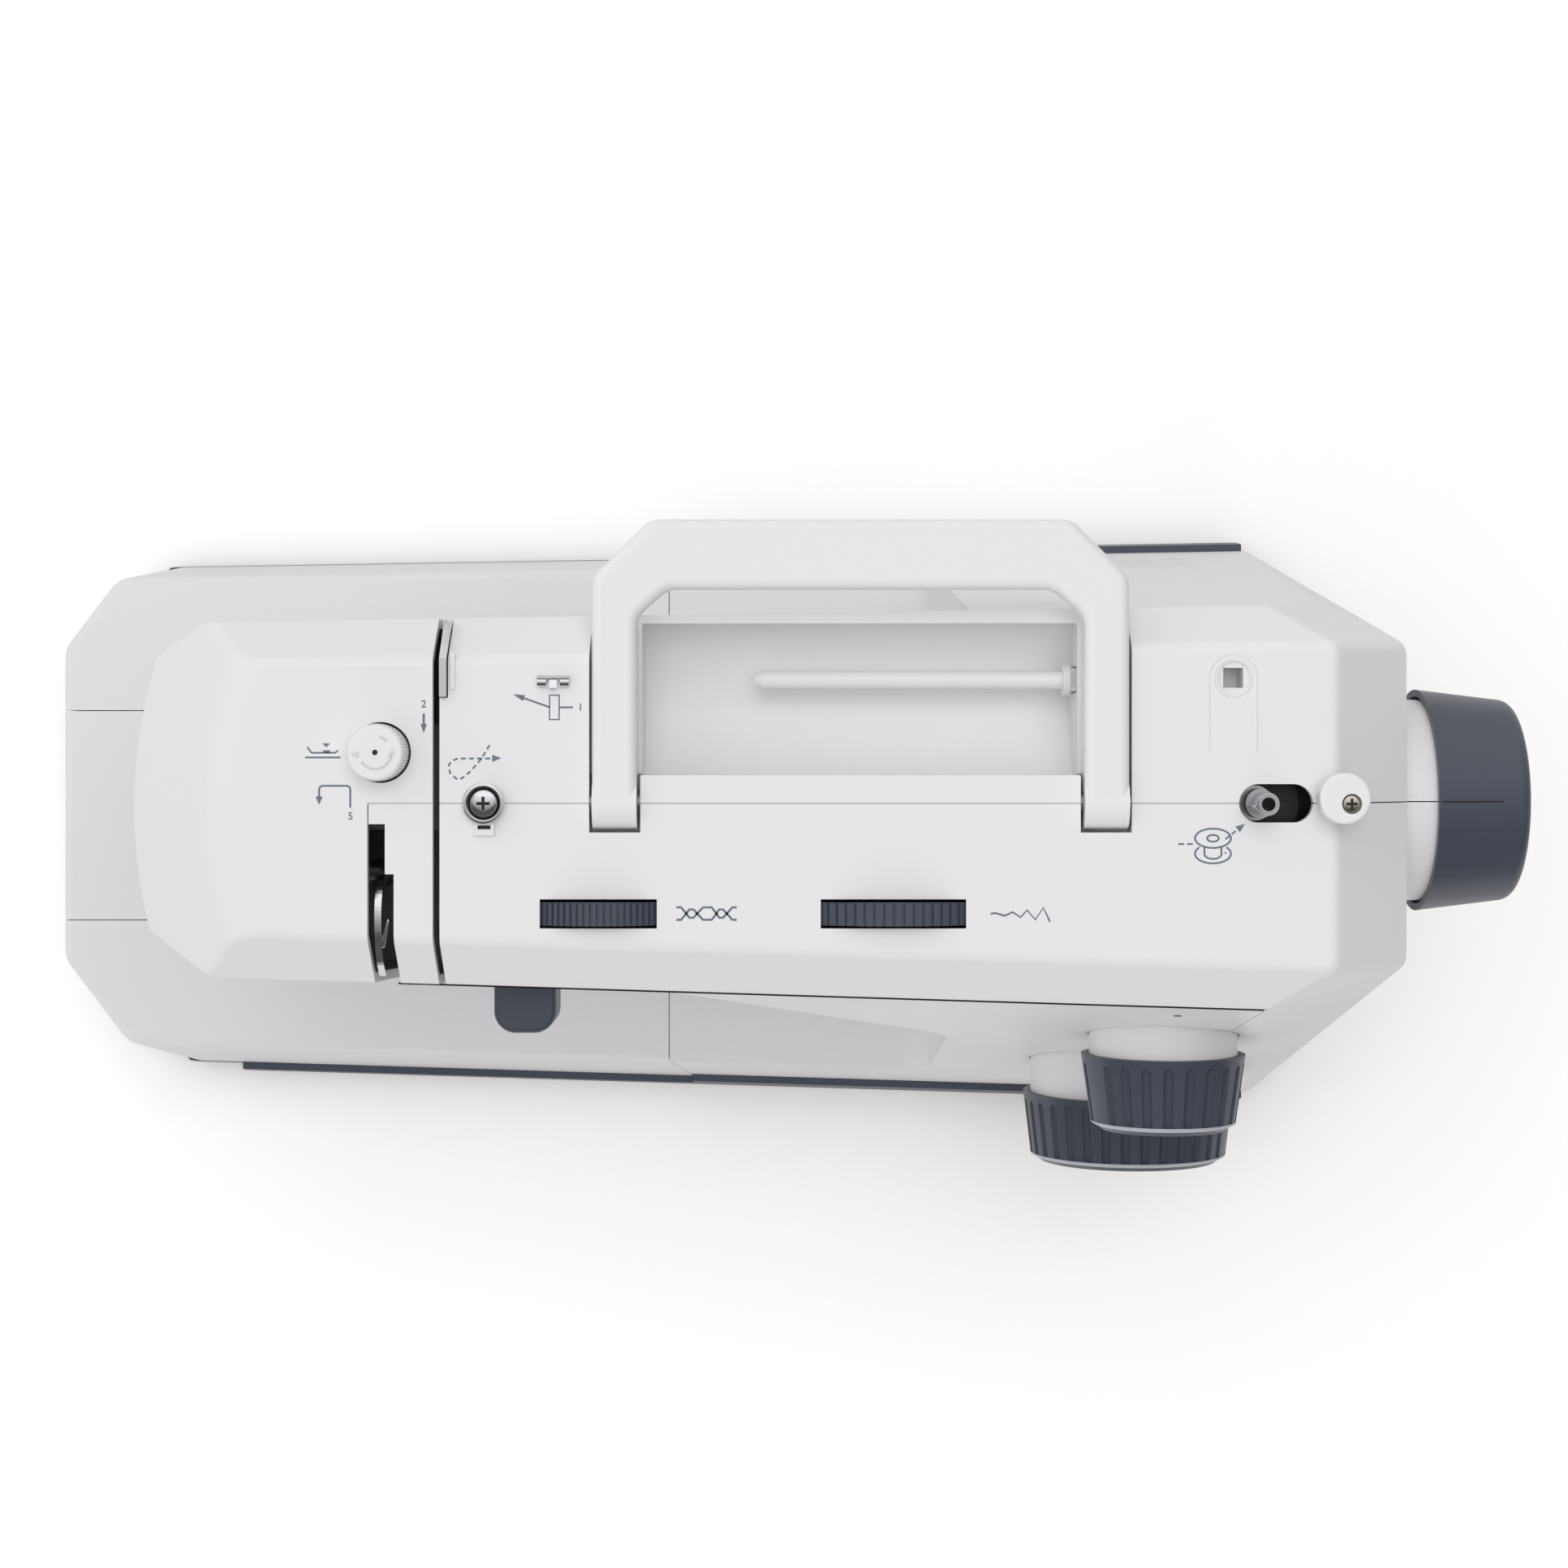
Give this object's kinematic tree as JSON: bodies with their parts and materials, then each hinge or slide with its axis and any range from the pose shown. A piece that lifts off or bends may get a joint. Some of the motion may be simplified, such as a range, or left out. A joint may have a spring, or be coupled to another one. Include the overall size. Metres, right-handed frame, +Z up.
{
  "type": "sewing machine",
  "caption": "Free-arm household sewing machine with folding carry handle, front dials, roof thumbwheels, bobbin winder, handwheel and slide-on accessory tray.",
  "frame": {"origin": "middle of the bounding box, on the surface the machine stands on", "axes": "+X along the arm towards the handwheel, -Y towards the user, +Z up"},
  "size_m": [0.45, 0.2064, 0.304],
  "materials": {
    "white_shell": "fine satin moulding",
    "dark_plastic": "satin slate grey",
    "black_plastic": "satin",
    "bright_metal": "polished",
    "steel": "ground",
    "casting": "as cast",
    "rubber": "matte",
    "bronze": "sintered",
    "motor_steel": "painted",
    "nylon": "moulded",
    "clear_plastic": "clear"
  },
  "bodies": {
    "machine": {"face_cover": "white_shell", "rear_cover": "white_shell", "front_cover": "white_shell", "top_cover": "white_shell", "winder_stop": "white_shell", "free_arm": "white_shell", "base_pan": "dark_plastic", "power_panel": "dark_plastic", "pretension_guide": "bright_metal", "rear_thread_guide": "bright_metal", "top_thread_guide": "bright_metal", "tension_discs": "bright_metal", "needle_plate": "bright_metal", "handle_pins": "steel", "frame_casting": "casting", "rubber_feet": "rubber", "timing_belt": "rubber", "motor_belt": "rubber", "bushes": "bronze", "motor": "motor_steel", "bobbin_case": "nylon", "lamp_lens": "clear_plastic"},
    "handle": {"handle": "white_shell"},
    "spool_pin": {"spool_pin": "white_shell"},
    "handwheel": {"handwheel": "dark_plastic", "main_shaft": "steel", "needle_crank": "steel", "shaft_pulleys": "casting"},
    "lower_drive": {"lower_shaft": "steel", "lower_pulley": "casting"},
    "hook": {"hook": "steel"},
    "motor_rotor": {"motor_pulley": "motor_steel"},
    "needle_bar": {"needle_bar": "steel", "needle_clamp": "bright_metal", "needle": "steel", "needle_link": "steel"},
    "take_up": {"take_up_lever": "bright_metal"},
    "presser": {"presser_bar": "steel", "foot_holder": "bright_metal", "presser_foot": "bright_metal"},
    "lifter": {"lifter_lever": "steel"},
    "tension_wheel": {"tension_wheel": "dark_plastic"},
    "width_wheel": {"width_wheel": "dark_plastic"},
    "length_dial": {"length_dial_grip": "dark_plastic", "length_dial_skirt": "white_shell"},
    "pattern_dial": {"pattern_dial_grip": "dark_plastic", "pattern_dial_skirt": "white_shell", "pattern_cam": "nylon"},
    "reverse_lever": {"reverse_lever": "dark_plastic"},
    "pressure_knob": {"pressure_knob": "white_shell"},
    "winder_arm": {"winder_arm": "black_plastic"},
    "winder_spindle": {"winder_spindle": "steel"},
    "tray": {"tray": "white_shell", "tray_pan": "dark_plastic"},
    "tray_lid": {"tray_lid": "white_shell"},
    "bobbin_cover": {"bobbin_cover": "clear_plastic"},
    "bobbin": {"bobbin": "clear_plastic"},
    "feed_dog": {"feed_dog": "steel"},
    "power_switch": {"power_switch": "dark_plastic"}
  },
  "joints": [
    {"name": "handle_fold", "type": "hinge", "parent": "machine", "child": "handle", "pos_m": [0.04285, 0.0134, 0.287], "axis": [1, 0, 0], "range_deg": [0, 90]},
    {"name": "spool_pin_tilt", "type": "hinge", "parent": "machine", "child": "spool_pin", "pos_m": [0.1045, 0.0459, 0.271], "axis": [0, 1, 0], "range_deg": [0, 18]},
    {"name": "handwheel_turn", "type": "hinge", "parent": "machine", "child": "handwheel", "pos_m": [0, 0.0134, 0.235], "axis": [1, 0, 0], "continuous": true},
    {"name": "lower_shaft_turn", "type": "hinge", "parent": "machine", "child": "lower_drive", "pos_m": [0, 0.0134, 0.0335], "axis": [1, 0, 0], "continuous": true},
    {"name": "hook_turn", "type": "hinge", "parent": "machine", "child": "hook", "pos_m": [-0.0817, -0.0065, 0.045], "axis": [0, 0, 1], "continuous": true},
    {"name": "motor_turn", "type": "hinge", "parent": "machine", "child": "motor_rotor", "pos_m": [0.11, 0.052, 0.058], "axis": [1, 0, 0], "continuous": true},
    {"name": "needle_bar_slide", "type": "slide", "parent": "machine", "child": "needle_bar", "axis": [0, 0, 1], "range_m": [-0.024, 0]},
    {"name": "take_up_swing", "type": "hinge", "parent": "machine", "child": "take_up", "pos_m": [-0.09, -0.006, 0.236], "axis": [1, 0, 0], "range_deg": [0, 30]},
    {"name": "lifter_swing", "type": "hinge", "parent": "machine", "child": "lifter", "pos_m": [-0.0645, 0.06, 0.178], "axis": [0, -1, 0], "range_deg": [0, 80]},
    {"name": "presser_slide", "type": "slide", "parent": "machine", "child": "presser", "axis": [0, 0, 1], "range_m": [0, 0.006]},
    {"name": "tension_turn", "type": "hinge", "parent": "machine", "child": "tension_wheel", "pos_m": [-0.0252, -0.0153, 0.2704], "axis": [0, 1, 0], "range_deg": [-150, 150]},
    {"name": "width_turn", "type": "hinge", "parent": "machine", "child": "width_wheel", "pos_m": [0.0514, -0.0153, 0.2584], "axis": [0, 1, 0], "range_deg": [-60, 60]},
    {"name": "length_dial_turn", "type": "hinge", "parent": "machine", "child": "length_dial", "pos_m": [0.133, -0.07, 0.205], "axis": [0, -1, 0], "range_deg": [0, 270]},
    {"name": "pattern_dial_turn", "type": "hinge", "parent": "machine", "child": "pattern_dial", "pos_m": [0.133, -0.09, 0.122], "axis": [0, -1, 0], "continuous": true},
    {"name": "reverse_press", "type": "hinge", "parent": "machine", "child": "reverse_lever", "pos_m": [-0.0482, -0.018, 0.24], "axis": [1, 0, 0], "range_deg": [0, 10], "stiffness_Nm_per_rad": 0.3, "springref_deg": -5.73},
    {"name": "pressure_turn", "type": "hinge", "parent": "machine", "child": "pressure_knob", "pos_m": [-0.0817, 0.0266, 0.29], "axis": [0, 0, 1], "range_deg": [-180, 180]},
    {"name": "winder_shift", "type": "hinge", "parent": "machine", "child": "winder_arm", "pos_m": [0.1506, -0.0265, 0.278], "axis": [0, 0, -1], "range_deg": [0, 12]},
    {"name": "winder_spin", "type": "hinge", "parent": "winder_arm", "child": "winder_spindle", "pos_m": [0.1463, 0.0134, 0.29], "axis": [0, 0, 1], "continuous": true},
    {"name": "tray_slide", "type": "slide", "parent": "machine", "child": "tray", "axis": [-1, 0, 0], "range_m": [0, 0.2]},
    {"name": "tray_lid_swing", "type": "hinge", "parent": "tray", "child": "tray_lid", "pos_m": [-0.2191, 0.005, 0.013], "axis": [0, -1, 0], "range_deg": [0, 85]},
    {"name": "bobbin_cover_lift", "type": "slide", "parent": "machine", "child": "bobbin_cover", "axis": [0, 0, 1], "range_m": [0, 0.025]},
    {"name": "bobbin_spin", "type": "hinge", "parent": "machine", "child": "bobbin", "pos_m": [-0.0817, -0.0065, 0.055], "axis": [0, 0, 1], "continuous": true},
    {"name": "feed_slide", "type": "slide", "parent": "machine", "child": "feed_dog", "axis": [0, 1, 0], "range_m": [0, 0.003]},
    {"name": "switch_rock", "type": "hinge", "parent": "machine", "child": "power_switch", "pos_m": [0.1822, 0.045, 0.104], "axis": [0, 1, 0], "range_deg": [0, 14]}
  ],
  "couplings": [
    {"joint": "lower_shaft_turn", "follows": "handwheel_turn", "ratio": 1},
    {"joint": "hook_turn", "follows": "handwheel_turn", "ratio": 2},
    {"joint": "motor_turn", "follows": "handwheel_turn", "ratio": 3.7143},
    {"joint": "lifter_swing", "follows": "presser_slide", "rad_per_m": 218.17}
  ]
}
